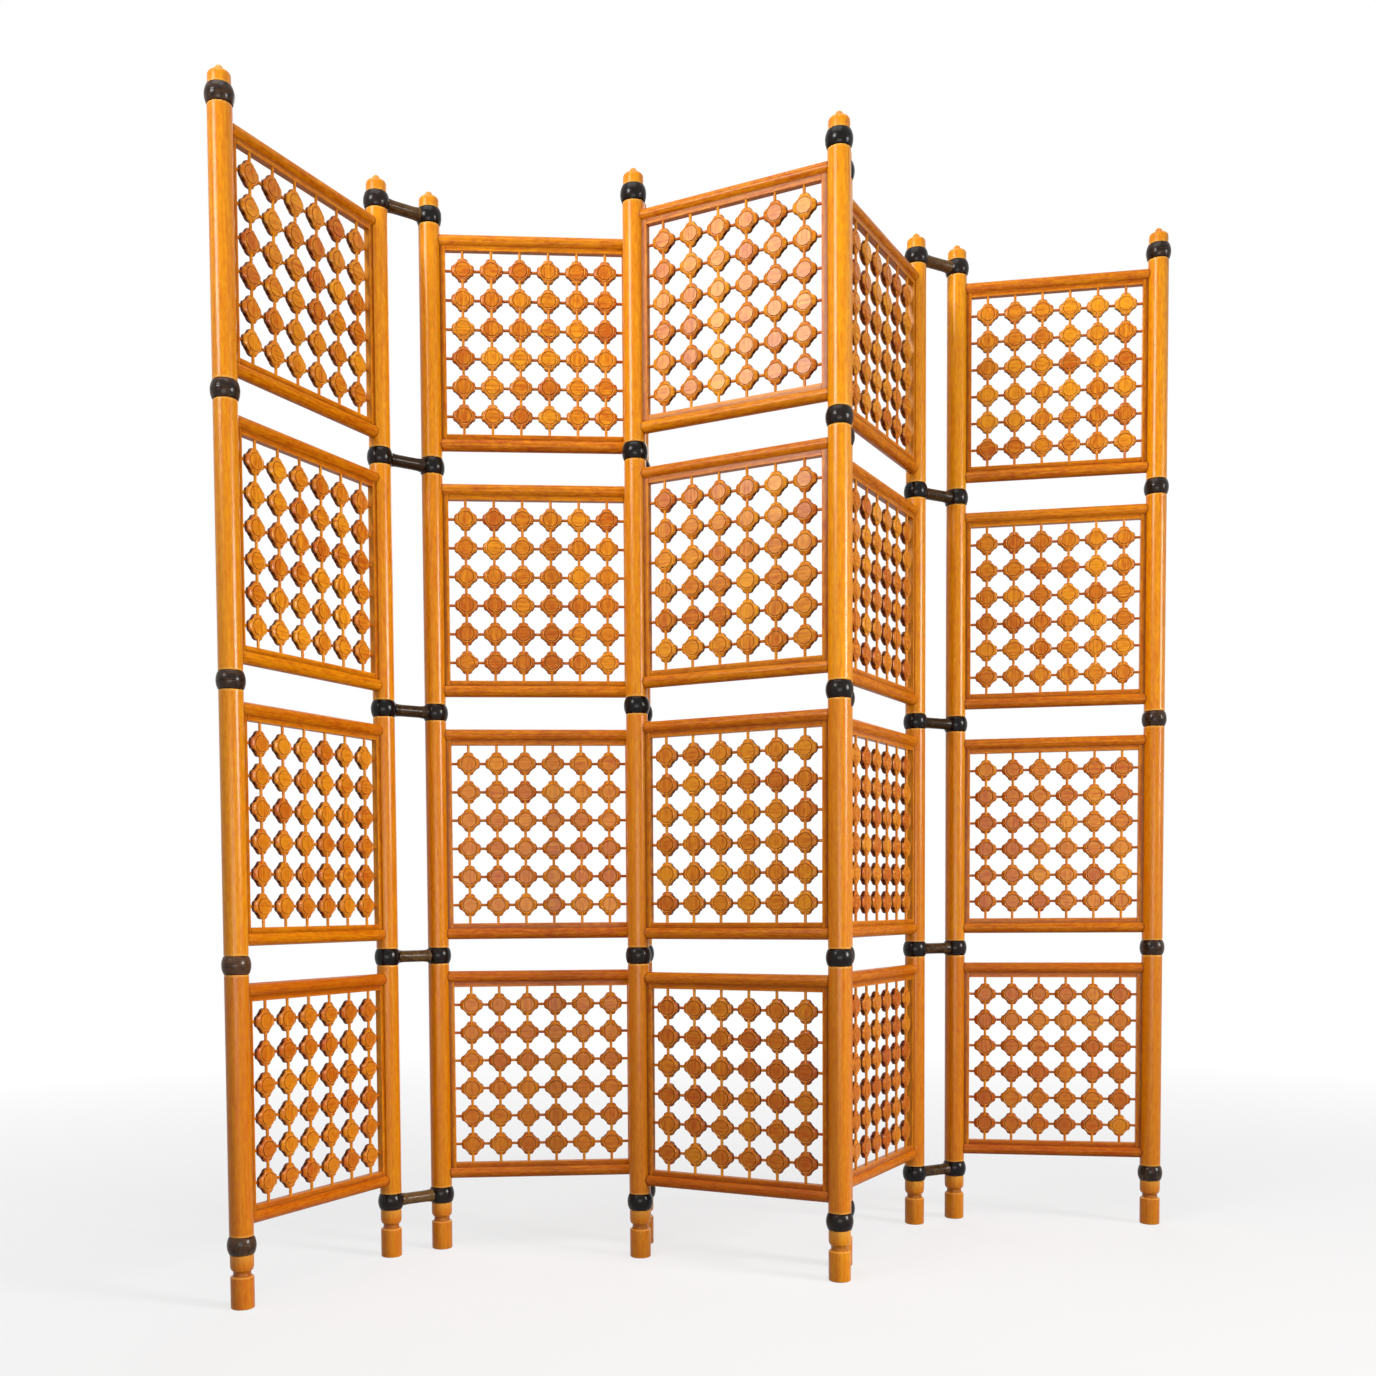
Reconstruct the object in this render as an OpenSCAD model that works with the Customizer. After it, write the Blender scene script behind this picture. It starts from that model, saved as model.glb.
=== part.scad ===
// Folding screen of five lattice leaves, joined by double-collar links.
// Each leaf has two turned posts and a column of lattice panels between them.
// Millimetres, +Z up, X along the screen, fronts towards -Y.
// The origin is on the floor, in the middle of the space that the screen fills.

/* [Leaf] */
// Distance between the two post axes of a leaf
leaf_pitch = 372; // [340:1:420]
// Panels in a leaf, one above the other
panels = 4; // [2:1:5]
// Height from one collar level to the next
level_pitch = 438.5; // [400:0.5:480]
// Height of the middle of the lowest collar
level_base = 99.6; // [90:0.2:120]
// Clear height from the middle of a collar to the panel next to it
panel_margin = 29; // [26:0.5:40]

/* [Posts] */
// Diameter of a post section
post_d = 38; // [34:0.5:42]
// Diameter of the tenon that passes through a collar
tenon_d = 24; // [18:0.5:26]
// Depth of the socket at the foot of a post section
socket_depth = 17; // [10:0.5:20]
// Chamfer on the ends of a post section
post_chamfer = 0.8; // [0.2:0.1:1.5]
// Diameter of the lower part of a foot
foot_d = 37; // [34:0.5:40]
// Diameter of the neck of a foot
foot_neck_d = 28; // [24:0.5:32]
// Height of the lower part of a foot
foot_lower_h = 51; // [40:0.5:56]
// Height of the neck of a foot
foot_neck_h = 8; // [5:0.5:12]
// Diameter of a finial
finial_d = 35.5; // [33:0.5:38]
// Height of a finial over its collar
finial_h = 31; // [28:0.5:36]
// Radius of the round shoulder of a finial
finial_shoulder_r = 8; // [6:0.5:12]
// Diameter of the tip of a finial
finial_tip_d = 14; // [8:0.5:16]
// Height that the tip of a finial stands over its shoulder
finial_tip_h = 9.5; // [6:0.5:12]
// Depth of the socket at the bottom of a finial
finial_seat = 9; // [6:0.5:10]

/* [Collars and links] */
// Greatest diameter of a collar
collar_d = 46; // [44:0.5:50]
// Diameter of a collar at its two ends
collar_end_d = 38.6; // [36:0.2:42]
// Height of a collar
collar_h = 28; // [24:0.5:32]
// Distance between the two collar axes of a link
link_pitch = 102; // [90:1:130]
// Diameter of a link bar in its middle
bar_d = 21; // [18:0.5:24]
// Diameter of the tenon on a link bar
bar_tenon_d = 12; // [8:0.5:14]
// Length of the tenon on a link bar
bar_tenon_l = 7; // [5:0.5:8]

/* [Rails and stiles] */
// Height of a rail, bead and fillet together
rail_h = 29; // [27:0.5:36]
// Diameter of the round bead of a rail
bead_d = 21.5; // [18:0.5:24]
// Thickness of the fillet and of the stiles
flat_t = 12; // [11:0.5:14]
// Distance from the post axis to the inner edge of a stile
stile_reach = 28; // [27:0.5:34]
// Diameter of the tenon on a rail end
rail_tenon_d = 10; // [8:0.5:12]
// Depth that a rail tenon enters the post
rail_tenon_l = 8; // [5:0.5:10]

/* [Lattice] */
// Blocks along each side of a panel
blocks = 6; // [4:1:6]
// Width of a block across two opposite lobes
block_w = 41; // [36:0.5:42]
// Thickness of a block
block_t = 12.5; // [11:0.5:14]
// Width of the end of each of a block's four lobes
lobe_w = 15.6; // [13:0.2:18]
// Distance from the middle of a block to the scallops between its lobes
diagonal_r = 15.4; // [14:0.1:17]
// Room over the top row and under the bottom row, more than between two rows
row_margin = 2.4; // [0:0.2:6]
// Diameter of the lattice rods
rod_d = 5; // [4:0.2:5.2]
// Wood left between the bore of an upright rod and the level bore behind it
rod_wall = 0.2; // [0.1:0.1:0.6]
// Depth that a rod enters the frame of its panel
rod_seat = 7; // [5:0.5:9]

/* [Fits] */
// Radial clearance of a turning collar on its tenon
run_fit = 0.06; // [0.02:0.01:0.1]
// Gap over and under a turning collar
end_play = 0.4; // [0.3:0.1:1]
// Radial clearance of a glued tenon or rod
glue_fit = 0.05; // [0.05:0.05:0.2]
// Room left at the bottom of a blind socket
socket_room = 0.5; // [0.3:0.1:1]

/* [Pose] */
// Direction of each leaf, degrees from +X, left to right
leaf_heading = [61, 4, -27.5, 59, -10];
// Direction of each link, degrees from +X, left to right
link_heading = [35, -94, 79.5, 29];

/* [Hidden] */
$fn = 48;
leaves = len(leaf_heading);
links = len(link_heading);
honey = [0.80, 0.47, 0.13];
tan = [0.72, 0.40, 0.13];
ebony = [0.13, 0.09, 0.07];
umber = [0.24, 0.17, 0.10];
letters = ["a", "b", "c", "d"];

post_r = post_d / 2;
tenon_r = tenon_d / 2;
bead_r = bead_d / 2;
collar_r = collar_d / 2;
panel_h = level_pitch - 2 * panel_margin;
opening_w = leaf_pitch - 2 * stile_reach;
opening_h = panel_h - 2 * rail_h;
gap_x = (opening_w - blocks * block_w) / (blocks + 1);
gap_z = (opening_h - 2 * row_margin - blocks * block_w) / (blocks + 1);
rod_hole_r = rod_d / 2 + glue_fit;
rod_y = rod_hole_r + rod_wall / 2;
collar_gap = collar_h / 2 + end_play;
section_h = level_pitch - 2 * collar_gap;
// Distance that a cut runs past the face that it opens
past = 1;

// Height of the middle of collar level i, counted from the lowest
function level_z(i) = level_base + i * level_pitch;
// Height of the bottom of panel j
function panel_z(j) = level_z(j) + panel_margin;
// Middle of block column or row i, from the edge of the opening
function block_at(i, gap) = gap + block_w / 2 + i * (block_w + gap);
// Step of a given length in a given direction
function step(l, a) = [l * cos(a), l * sin(a)];
// Axis of the left and the right post of leaf k, from the first post
function left_axis(k) =
    k == 0 ? [0, 0] : right_axis(k - 1) + step(link_pitch, link_heading[k - 1]);
function right_axis(k) = left_axis(k) + step(leaf_pitch, leaf_heading[k]);

axes = [for (k = [0 : leaves - 1]) each [left_axis(k), right_axis(k)]];
xs = [for (p = axes) p.x];
ys = [for (p = axes) p.y];
middle = [(min(xs) + max(xs)) / 2, (min(ys) + max(ys)) / 2];

leaf_pieces = ["left_post", "right_post", "feet", "finials", "top_rails", "bottom_rails",
    "stiles", "blocks", "upright_rods", "level_rods"];
function leaf_name(k, piece) = str("leaf_", k + 1, "_", piece);
function link_name(k, piece) = str("link_", letters[k], "_", piece);
NODES = concat(
    [for (k = [0 : leaves - 1], piece = leaf_pieces) leaf_name(k, piece)],
    [for (k = [0 : links - 1], piece = ["collars", "bars"]) link_name(k, piece)],
    [leaf_name(0, "end_collars"), leaf_name(leaves - 1, "end_collars")]);
node = "all";

// ---------- profiles, turned round Z ----------

// Cylinder section with both outer edges rounded
module rounded_profile(r, z0, z1, edge) {
    translate([0, z0]) square([r - edge, z1 - z0]);
    translate([0, z0 + edge]) square([r, z1 - z0 - 2 * edge]);
    intersection() {
        translate([0, z0]) square([r, z1 - z0]);
        for (z = [z0 + edge, z1 - edge])
            translate([r - edge, z]) circle(edge);
    }
}

// Post section with a tenon on top, from its bottom face
module section_profile(tenon_l) {
    c = post_chamfer;
    polygon([[0, 0], [post_r - c, 0], [post_r, c], [post_r, section_h - c],
        [post_r - c, section_h], [tenon_r, section_h], [tenon_r, section_h + tenon_l - c],
        [tenon_r - c, section_h + tenon_l], [0, section_h + tenon_l]]);
}

// Barrel outline of a collar, solid to the axis, with its outside moved out by grow
module collar_profile(grow = 0) {
    sag = (collar_d - collar_end_d) / 2;
    barrel_r = (pow(collar_h / 2, 2) + pow(sag, 2)) / (2 * sag);
    intersection() {
        translate([0, -collar_h / 2]) square([collar_d, collar_h]);
        translate([collar_r - barrel_r, 0]) circle(barrel_r + grow, $fn = 96);
    }
}

module foot_profile() {
    upper_z = foot_lower_h + foot_neck_h;
    top_z = level_base - collar_gap;
    lower_edge = 2.5;
    shoulder = 5;
    rounded_profile(foot_d / 2, 0, foot_lower_h, lower_edge);
    translate([0, foot_lower_h / 2]) square([foot_neck_d / 2, top_z - foot_lower_h / 2]);
    rounded_profile(foot_d / 2, upper_z, top_z, shoulder);
    translate([0, top_z - 2 * shoulder]) square([foot_d / 2, 2 * shoulder]);
    square([tenon_r, top_z + stub_l(socket_depth)]);
}

// Round shoulder with a round tip standing on it, from its bottom face
module finial_profile() {
    finial_r = finial_d / 2;
    tip_r = finial_tip_d / 2;
    shoulder_top = finial_h - finial_tip_h;
    shoulder_z = shoulder_top - finial_shoulder_r;
    intersection() {
        square([finial_r, finial_h]);
        union() {
            square([finial_r, shoulder_z]);
            translate([finial_r - finial_shoulder_r, shoulder_z]) circle(finial_shoulder_r);
            square([finial_r - finial_shoulder_r, shoulder_top]);
            square([tip_r, finial_h - tip_r]);
            translate([0, finial_h - tip_r]) circle(tip_r);
        }
    }
}

// Length of a tenon that passes a collar and enters a socket of a given depth
function stub_l(seat) = collar_h + 2 * end_play + seat - socket_room;

// ---------- posts ----------

// side is 1 where the panel lies towards +X, and -1 where it lies towards -X
module post(side) {
    color(honey)
    for (j = [0 : panels - 1]) {
        bottom = level_z(j) + collar_gap;
        seat = j == panels - 1 ? finial_seat : socket_depth;
        translate([0, 0, bottom])
        difference() {
            rotate_extrude() section_profile(stub_l(seat));
            socket(tenon_r, socket_depth);
            for (z = [bead_low_z(j), bead_high_z(j)])
                translate([0, 0, z - bottom]) rail_socket(side);
        }
    }
}

// Blind hole upwards from Z = 0 for a glued tenon or rod
module socket(r, depth) {
    translate([0, 0, -past]) cylinder(r = r + glue_fit, h = depth + past);
}

// Blind hole in the side of a post for the tenon of a rail
module rail_socket(side) {
    rotate([0, side * 90, 0])
    translate([0, 0, post_r]) mirror([0, 0, 1])
    socket(rail_tenon_d / 2, rail_tenon_l + socket_room);
}

module each_post() {
    for (x = [0, leaf_pitch])
        translate([x, 0, 0]) children();
}

module feet() {
    color(honey) each_post() rotate_extrude() foot_profile();
}

module finials() {
    color(honey) each_post()
    translate([0, 0, level_z(panels) + collar_h / 2 + end_play])
    difference() {
        rotate_extrude() finial_profile();
        socket(tenon_r, finial_seat);
    }
}

// ---------- panels ----------

// Heights of the bead axes of panel j
function bead_low_z(j) = panel_z(j) + bead_r;
function bead_high_z(j) = panel_z(j) + panel_h - bead_r;

// A rail lying along X with its bead axis at Z = 0 and its fillet upwards
module rail() {
    fillet_h = rail_h - bead_r;
    difference() {
        union() {
            rotate([0, 90, 0]) cylinder(r = bead_r, h = leaf_pitch);
            translate([stile_reach + glue_fit, -flat_t / 2, 0])
            cube([opening_w - 2 * glue_fit, flat_t, fillet_h]);
        }
        each_post() cylinder(r = post_r + glue_fit, h = 2 * (rail_h + past), center = true);
        for (i = [0 : blocks - 1])
            translate([stile_reach + block_at(i, gap_x), -rod_y, fillet_h]) mirror([0, 0, 1])
            socket(rod_d / 2, rod_seat);
    }
    for (end = [[0, 1], [leaf_pitch, -1]])
        translate([end[0], 0, 0])
        rotate([0, end[1] * 90, 0])
        translate([0, 0, post_r - rail_tenon_l])
        cylinder(d = rail_tenon_d, h = rail_tenon_l + rail_tenon_d);
}

module bottom_rails() {
    color(honey)
    for (j = [0 : panels - 1])
        translate([0, 0, bead_low_z(j)]) rail();
}

module top_rails() {
    color(honey)
    for (j = [0 : panels - 1])
        translate([0, 0, bead_high_z(j)]) mirror([0, 0, 1]) rail();
}

// Flat strip between a post and the lattice, scribed to the post and to both beads
module stile(j) {
    low = bead_low_z(j);
    high = bead_high_z(j);
    cut_r = bead_r + glue_fit;
    difference() {
        translate([0, -flat_t / 2, low]) cube([stile_reach, flat_t, high - low]);
        translate([0, 0, low - past])
        cylinder(r = post_r + glue_fit, h = high - low + 2 * past);
        for (z = [low, high])
            translate([0, 0, z]) rotate([0, 90, 0]) cylinder(r = cut_r, h = stile_reach + past);
        for (i = [0 : blocks - 1])
            translate([stile_reach, rod_y, row_z(j, i)]) rotate([0, -90, 0])
            socket(rod_d / 2, rod_seat);
    }
}

module stiles() {
    color(honey)
    for (j = [0 : panels - 1]) {
        stile(j);
        translate([leaf_pitch, 0, 0]) mirror([1, 0, 0]) stile(j);
    }
}

// ---------- lattice ----------

// Height of the middle of block row i in panel j
function row_z(j, i) = panel_z(j) + rail_h + row_margin + block_at(i, gap_z);

// Front outline of a block: a square with a round scallop between each two lobes.
// The scallop passes through the corners of both lobes and the diagonal point.
module block_outline() {
    half = block_w / 2;
    lobe = lobe_w / 2;
    diagonal = diagonal_r / sqrt(2);
    centre = (pow(lobe, 2) + pow(half, 2) - 2 * pow(diagonal, 2))
        / (2 * (lobe + half - 2 * diagonal));
    difference() {
        square(block_w, center = true);
        for (x = [-centre, centre], z = [-centre, centre])
            translate([x, z]) circle(sqrt(2) * (centre - diagonal));
    }
}

// One block, its face towards -Y, bored for the upright and the level rod
module block() {
    difference() {
        rotate([90, 0, 0]) linear_extrude(block_t, center = true) block_outline();
        translate([0, -rod_y, 0])
        cylinder(r = rod_hole_r, h = block_w + 2 * past, center = true);
        translate([0, rod_y, 0])
        rotate([0, 90, 0]) cylinder(r = rod_hole_r, h = block_w + 2 * past, center = true);
    }
}

module lattice_blocks() {
    color(tan)
    for (j = [0 : panels - 1], row = [0 : blocks - 1], col = [0 : blocks - 1])
        translate([stile_reach + block_at(col, gap_x), 0, row_z(j, row)]) block();
}

// Rods that carry the columns of blocks, seated in both rails
module upright_rods() {
    seat = rod_seat - socket_room;
    color(tan)
    for (j = [0 : panels - 1], col = [0 : blocks - 1])
        translate([stile_reach + block_at(col, gap_x), -rod_y, panel_z(j) + rail_h - seat])
        cylinder(d = rod_d, h = opening_h + 2 * seat);
}

// Rods that carry the rows of blocks, seated in both stiles
module level_rods() {
    seat = rod_seat - socket_room;
    color(tan)
    for (j = [0 : panels - 1], row = [0 : blocks - 1])
        translate([stile_reach - seat, rod_y, row_z(j, row)])
        rotate([0, 90, 0]) cylinder(d = rod_d, h = opening_w + 2 * seat);
}

// ---------- collars and links ----------

module collar() {
    difference() {
        rotate_extrude() collar_profile();
        cylinder(r = tenon_r + run_fit, h = collar_h + 2 * past, center = true);
    }
}

module each_level() {
    for (i = [0 : panels])
        translate([0, 0, level_z(i)]) children();
}

module end_collars() {
    color(ebony) each_level() collar();
}

// Both collars of each link, with a side socket for the bar
module link_collars() {
    color(ebony) each_level()
    for (end = [0, 1])
        translate([end * link_pitch, 0, 0])
        rotate([0, 0, end * 180])
        difference() {
            collar();
            translate([collar_r, 0, 0]) rotate([0, -90, 0])
            socket(bar_tenon_d / 2, bar_tenon_l + socket_room);
        }
}

// Round bar, scribed to the barrel of both collars, with a tenon on each end
module link_bars() {
    tenon_x = collar_r - bar_tenon_l;
    color(umber) each_level() {
        difference() {
            rotate([0, 90, 0]) cylinder(d = bar_d, h = link_pitch);
            for (x = [0, link_pitch])
                translate([x, 0, 0]) rotate_extrude() collar_profile(glue_fit);
        }
        translate([tenon_x, 0, 0])
        rotate([0, 90, 0]) cylinder(d = bar_tenon_d, h = link_pitch - 2 * tenon_x);
    }
}

// ---------- assembly ----------

function wanted(name) = node == "all" || node == name;

module place(axis, heading) {
    translate([axis.x - middle.x, axis.y - middle.y, 0])
    rotate([0, 0, heading]) children();
}

for (k = [0 : leaves - 1])
    place(left_axis(k), leaf_heading[k]) {
        if (wanted(leaf_name(k, "left_post"))) post(1);
        if (wanted(leaf_name(k, "right_post"))) translate([leaf_pitch, 0, 0]) post(-1);
        if (wanted(leaf_name(k, "feet"))) feet();
        if (wanted(leaf_name(k, "finials"))) finials();
        if (wanted(leaf_name(k, "top_rails"))) top_rails();
        if (wanted(leaf_name(k, "bottom_rails"))) bottom_rails();
        if (wanted(leaf_name(k, "stiles"))) stiles();
        if (wanted(leaf_name(k, "blocks"))) lattice_blocks();
        if (wanted(leaf_name(k, "upright_rods"))) upright_rods();
        if (wanted(leaf_name(k, "level_rods"))) level_rods();
    }

for (k = [0 : links - 1])
    place(right_axis(k), link_heading[k]) {
        if (wanted(link_name(k, "collars"))) link_collars();
        if (wanted(link_name(k, "bars"))) link_bars();
    }

if (wanted(leaf_name(0, "end_collars"))) place(left_axis(0), leaf_heading[0]) end_collars();
if (wanted(leaf_name(leaves - 1, "end_collars")))
    place(right_axis(leaves - 1), leaf_heading[leaves - 1]) end_collars();
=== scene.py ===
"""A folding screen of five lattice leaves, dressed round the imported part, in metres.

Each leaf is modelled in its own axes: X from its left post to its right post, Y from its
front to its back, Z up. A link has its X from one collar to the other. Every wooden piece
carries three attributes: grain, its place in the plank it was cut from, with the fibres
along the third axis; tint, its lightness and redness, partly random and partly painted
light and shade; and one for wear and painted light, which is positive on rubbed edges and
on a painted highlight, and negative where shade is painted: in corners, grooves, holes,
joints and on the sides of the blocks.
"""

import math
import random

import bpy
import numpy as np
from mathutils import Euler, Matrix, Vector

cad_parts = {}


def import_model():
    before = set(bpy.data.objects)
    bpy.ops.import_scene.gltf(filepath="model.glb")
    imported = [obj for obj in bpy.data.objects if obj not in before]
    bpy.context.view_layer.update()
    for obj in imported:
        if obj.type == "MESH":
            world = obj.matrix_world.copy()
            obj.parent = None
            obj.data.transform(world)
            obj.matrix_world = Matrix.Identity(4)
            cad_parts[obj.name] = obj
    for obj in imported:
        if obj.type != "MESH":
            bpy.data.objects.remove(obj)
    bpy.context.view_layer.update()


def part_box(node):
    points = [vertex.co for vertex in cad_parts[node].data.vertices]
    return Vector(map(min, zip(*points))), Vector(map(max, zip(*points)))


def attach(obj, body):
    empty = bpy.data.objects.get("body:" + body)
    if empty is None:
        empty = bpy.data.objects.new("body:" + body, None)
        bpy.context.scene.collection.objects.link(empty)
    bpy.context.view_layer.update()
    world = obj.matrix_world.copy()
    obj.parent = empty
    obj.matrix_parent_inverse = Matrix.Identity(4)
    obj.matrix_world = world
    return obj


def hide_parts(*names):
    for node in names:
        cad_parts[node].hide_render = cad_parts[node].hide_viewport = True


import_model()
rng = random.Random(12)

LEAVES = range(1, 6)
LINKS = {"a": (1, 2), "b": (2, 3), "c": (3, 4), "d": (4, 5)}
PANELS = 4
LEVELS = 5
BLOCKS = 6

# ---------- sizes, in metres ----------
LEVEL_BASE = 0.0996
LEVEL_PITCH = 0.4385
PANEL_MARGIN = 0.029
POST_R = 0.019
COLLAR_R = 0.0228
COLLAR_END_R = 0.0193
COLLAR_H = 0.028
BORE_R = 0.0121
END_PLAY = 0.0004
BAR_R = 0.0105
BAR_FLARE = 0.0012
RAIL_H = 0.029
BEAD_R = 0.01075
FLAT_T = 0.012
STILE_REACH = 0.028
FIT = 0.00005
BLOCK_W = 0.041
BLOCK_T = 0.0125
FLAT_NEAR = 0.0149
FLAT_FAR = 0.0093
HOLE_R = 0.0035
HOLE_DEPTH = 0.0026
LOBE_TIP = 0.003
ROW_MARGIN = 0.0024
GROOVE_R = 0.0129
GROOVE_D = 0.0014
DISC_R = 0.0148
ROD_R = 0.0025
ROD_Y = 0.00265
ROD_SEAT = 0.0065
FOOT_R = 0.0185
FINIAL_R = 0.01775
FINIAL_H = 0.031

# the carving of a block's face
GROOVE_WALL = 0.0008
DISC_EASE = 0.0007
RIM_DROP = 0.0028
TIP_DROP = 0.0010
# how far the painted shade on a block's sides reaches up onto its edge
SIDE_SHADE_BAND = 0.0007

# where a rail's fillet leaves its bead, and where the painted shade in that corner ends, as
# shares of the bead's radius
FILLET_FROM = 0.72
FILLET_SHADE_END = 0.9

# edges that turn by more than this stay sharp
SHARP = math.radians(38)

COLLAR_GAP = COLLAR_H / 2 + END_PLAY
SECTION_H = LEVEL_PITCH - 2 * COLLAR_GAP
PANEL_H = LEVEL_PITCH - 2 * PANEL_MARGIN


# ---------- where things are ----------
def level_z(i):
    """Height of a collar level's middle, counted from 0 at the feet."""
    return LEVEL_BASE + i * LEVEL_PITCH


def panel_z(j):
    """Height of a panel's lower edge, counted from 0 at the bottom."""
    return level_z(j) + PANEL_MARGIN


def post_axis(node):
    """The point where a post's axis meets the floor."""
    low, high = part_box(node)
    return Vector(((low.x + high.x) / 2, (low.y + high.y) / 2, 0))


def between(start, end):
    """The axes with origin at start and X towards end, and the distance between the two."""
    way = end - start
    turn = Matrix.Rotation(math.atan2(way.y, way.x), 4, "Z")
    return Matrix.Translation(start) @ turn, way.length


LEFT = {k: post_axis(f"leaf_{k}_left_post") for k in LEAVES}
RIGHT = {k: post_axis(f"leaf_{k}_right_post") for k in LEAVES}
LEAF_PITCH = between(LEFT[3], RIGHT[3])[1]
OPENING_W = LEAF_PITCH - 2 * STILE_REACH
OPENING_H = PANEL_H - 2 * RAIL_H
GAP_X = (OPENING_W - BLOCKS * BLOCK_W) / (BLOCKS + 1)
GAP_Z = (OPENING_H - 2 * ROW_MARGIN - BLOCKS * BLOCK_W) / (BLOCKS + 1)


def block_x(col):
    """Distance of a block's middle from the left post's axis."""
    return STILE_REACH + GAP_X + BLOCK_W / 2 + col * (BLOCK_W + GAP_X)


def block_z(j, row):
    """Height of the middle of a row of blocks in a panel."""
    low = panel_z(j) + RAIL_H + ROW_MARGIN
    return low + GAP_Z + BLOCK_W / 2 + row * (BLOCK_W + GAP_Z)


# ---------- meshes ----------
class Piece:
    """Solids gathered in one set of axes, to become one object."""

    def __init__(self):
        self.points, self.corners, self.sizes = [], [], []
        self.grain, self.tint, self.wear_and_painted_light = [], [], []
        self.count = 0

    def add(self, points, faces, along, tint, wear_and_painted_light=0.0):
        """One solid. along is the direction of its fibres; faces are arrays of corners."""
        points = np.asarray(points, float)
        for face in faces:
            face = np.asarray(face)
            self.corners.append(face.ravel() + self.count)
            self.sizes.append(np.full(len(face), face.shape[1]))
        self.points.append(points)
        self.grain.append(points @ plank(along).T + plank_place())
        self.tint.append(np.tile(tint, (len(points), 1)))
        self.wear_and_painted_light.append(np.broadcast_to(wear_and_painted_light, len(points)))
        self.count += len(points)

    def build(self, name, body, place, material, nodes, slot):
        """Makes the object at its place, parents it to the body it rides on, and hides the
        solids that it stands for.
        """
        points = np.concatenate(self.points)
        matrix = np.array(place)
        points = points @ matrix[:3, :3].T + matrix[:3, 3]
        corners, sizes = np.concatenate(self.corners), np.concatenate(self.sizes)
        mesh = bpy.data.meshes.new(name)
        mesh.vertices.add(len(points))
        mesh.vertices.foreach_set("co", points.astype(np.float32).ravel())
        mesh.loops.add(len(corners))
        mesh.loops.foreach_set("vertex_index", corners.astype(np.int32))
        mesh.polygons.add(len(sizes))
        starts = np.concatenate([[0], np.cumsum(sizes)[:-1]])
        mesh.polygons.foreach_set("loop_start", starts.astype(np.int32))
        mesh.update(calc_edges=True)
        mesh.validate()
        mesh.shade_smooth()
        mesh.set_sharp_from_angle(angle=SHARP)
        for key, kind, values in (
            ("grain", "FLOAT_VECTOR", self.grain),
            ("tint", "FLOAT_VECTOR", self.tint),
            ("wear_and_painted_light", "FLOAT", self.wear_and_painted_light),
        ):
            field = "vector" if kind == "FLOAT_VECTOR" else "value"
            attribute = mesh.attributes.new(key, kind, "POINT")
            flat = np.concatenate(values).astype(np.float32).ravel()
            attribute.data.foreach_set(field, flat)
        mesh.materials.append(material)
        piece = bpy.data.objects.new(name, mesh)
        bpy.context.scene.collection.objects.link(piece)
        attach(piece, body)
        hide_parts(*nodes)
        return piece


def plank(along):
    """Turns a piece's own axes so that its fibres run along the third, at a random angle."""
    fibres = Vector(along).normalized()
    side = fibres.orthogonal().normalized()
    side.rotate(Matrix.Rotation(rng.uniform(0, math.tau), 3, fibres))
    return np.array([side, fibres.cross(side), fibres])


def plank_place():
    """A random place in the plank, some way off its middle."""
    angle = rng.uniform(0, math.tau)
    reach = rng.uniform(0.03, 0.12)
    return np.array([reach * math.cos(angle), reach * math.sin(angle), rng.uniform(0, 9)])


def skin(rings, closed=True):
    """Faces between rings of equal length, and a fan that closes each end."""
    rings = np.asarray(rings, float)
    count, around = rings.shape[:2]
    i, j = np.meshgrid(np.arange(count - 1), np.arange(around), indexing="ij")
    i, j = i.ravel(), j.ravel()
    k = (j + 1) % around
    quads = np.stack([i * around + j, i * around + k, (i + 1) * around + k,
                      (i + 1) * around + j], axis=1)
    points = rings.reshape(-1, 3)
    faces = [quads]
    if closed:
        first, last = count * around, count * around + 1
        j = np.arange(around)
        k = (j + 1) % around
        top = (count - 1) * around
        faces.append(np.stack([np.full(around, first), k, j], axis=1))
        faces.append(np.stack([np.full(around, last), top + j, top + k], axis=1))
        points = np.vstack([points, rings[0].mean(0), rings[-1].mean(0)])
    return points, faces


def lathe(profile, around=40):
    """Rings of a turned piece about Z from (radius, height) pairs, from the bottom up."""
    angles = np.arange(around) / around * math.tau
    circle = np.stack([np.cos(angles), np.sin(angles), np.zeros(around)], axis=1)
    up = np.array([0, 0, 1.0])
    return np.array([radius * circle + height * up for radius, height in profile])


def spread(values, around, caps=2):
    """One value for each ring, repeated for its points, and nought for the two caps."""
    return np.concatenate([np.repeat(values, around), np.zeros(caps)])


def capped(wear_and_painted_light):
    """The wear and painted light of every point of every ring, and nought for the two caps."""
    return np.concatenate([wear_and_painted_light.ravel(), [0, 0]])


def arc(centre, radius, start, end, steps):
    """Points on an arc, as (radius, height) pairs; angles are in degrees."""
    angles = np.radians(np.linspace(start, end, steps + 1))
    return [(centre[0] + radius * math.cos(a), centre[1] + radius * math.sin(a))
            for a in angles]


def shade(lightness=0.06, redness=0.12, red=0.0):
    """A piece's tint: how much lighter and how much redder than the usual, at random round red;
    red carries painted shade where it is given.
    """
    return (rng.gauss(0, lightness), max(0.0, rng.gauss(red, redness)), rng.random())


UP, ALONG = (0, 0, 1), (1, 0, 0)
# painted shade: the wood is made redder and darker from one level to the next, going down
LOW_PAINTED_SHADE = (0.42, 0.26, 0.10, 0.0)


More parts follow.
